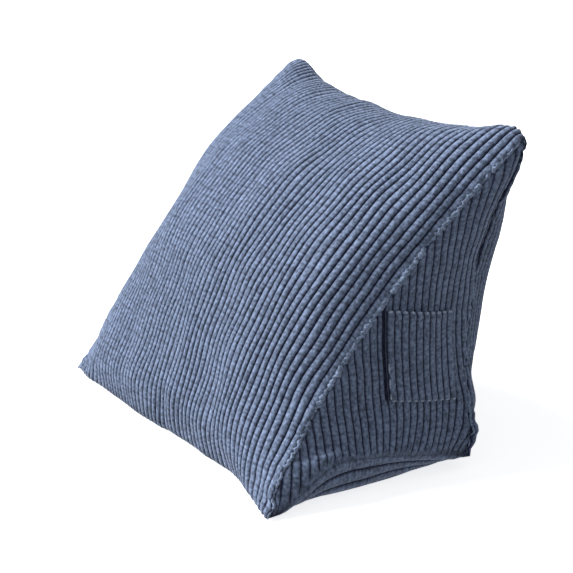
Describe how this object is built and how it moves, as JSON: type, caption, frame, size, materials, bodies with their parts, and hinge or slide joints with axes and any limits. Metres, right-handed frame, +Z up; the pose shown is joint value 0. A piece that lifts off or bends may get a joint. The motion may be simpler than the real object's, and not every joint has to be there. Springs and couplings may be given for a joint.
{
  "type": "wedge reading pillow",
  "caption": "Stuffed triangular reading pillow in blue-grey wide-wale corduroy, with a sloping back rest, drawn-in seams, stuffed corners and a patch pocket on one end.",
  "frame": {"origin": "on the ground, under the middle of the flat belly that the pillow rests on", "axes": "X runs along the width, with the pocket on the +X end; the slope faces -Y and the upright back +Y; +Z is up"},
  "size_m": [0.4414, 0.3093, 0.3307],
  "materials": {
    "corduroy": "matte ribbed pile"
  },
  "bodies": {
    "root": {"cushion": "corduroy", "side_pocket": "corduroy"}
  },
  "joints": []
}
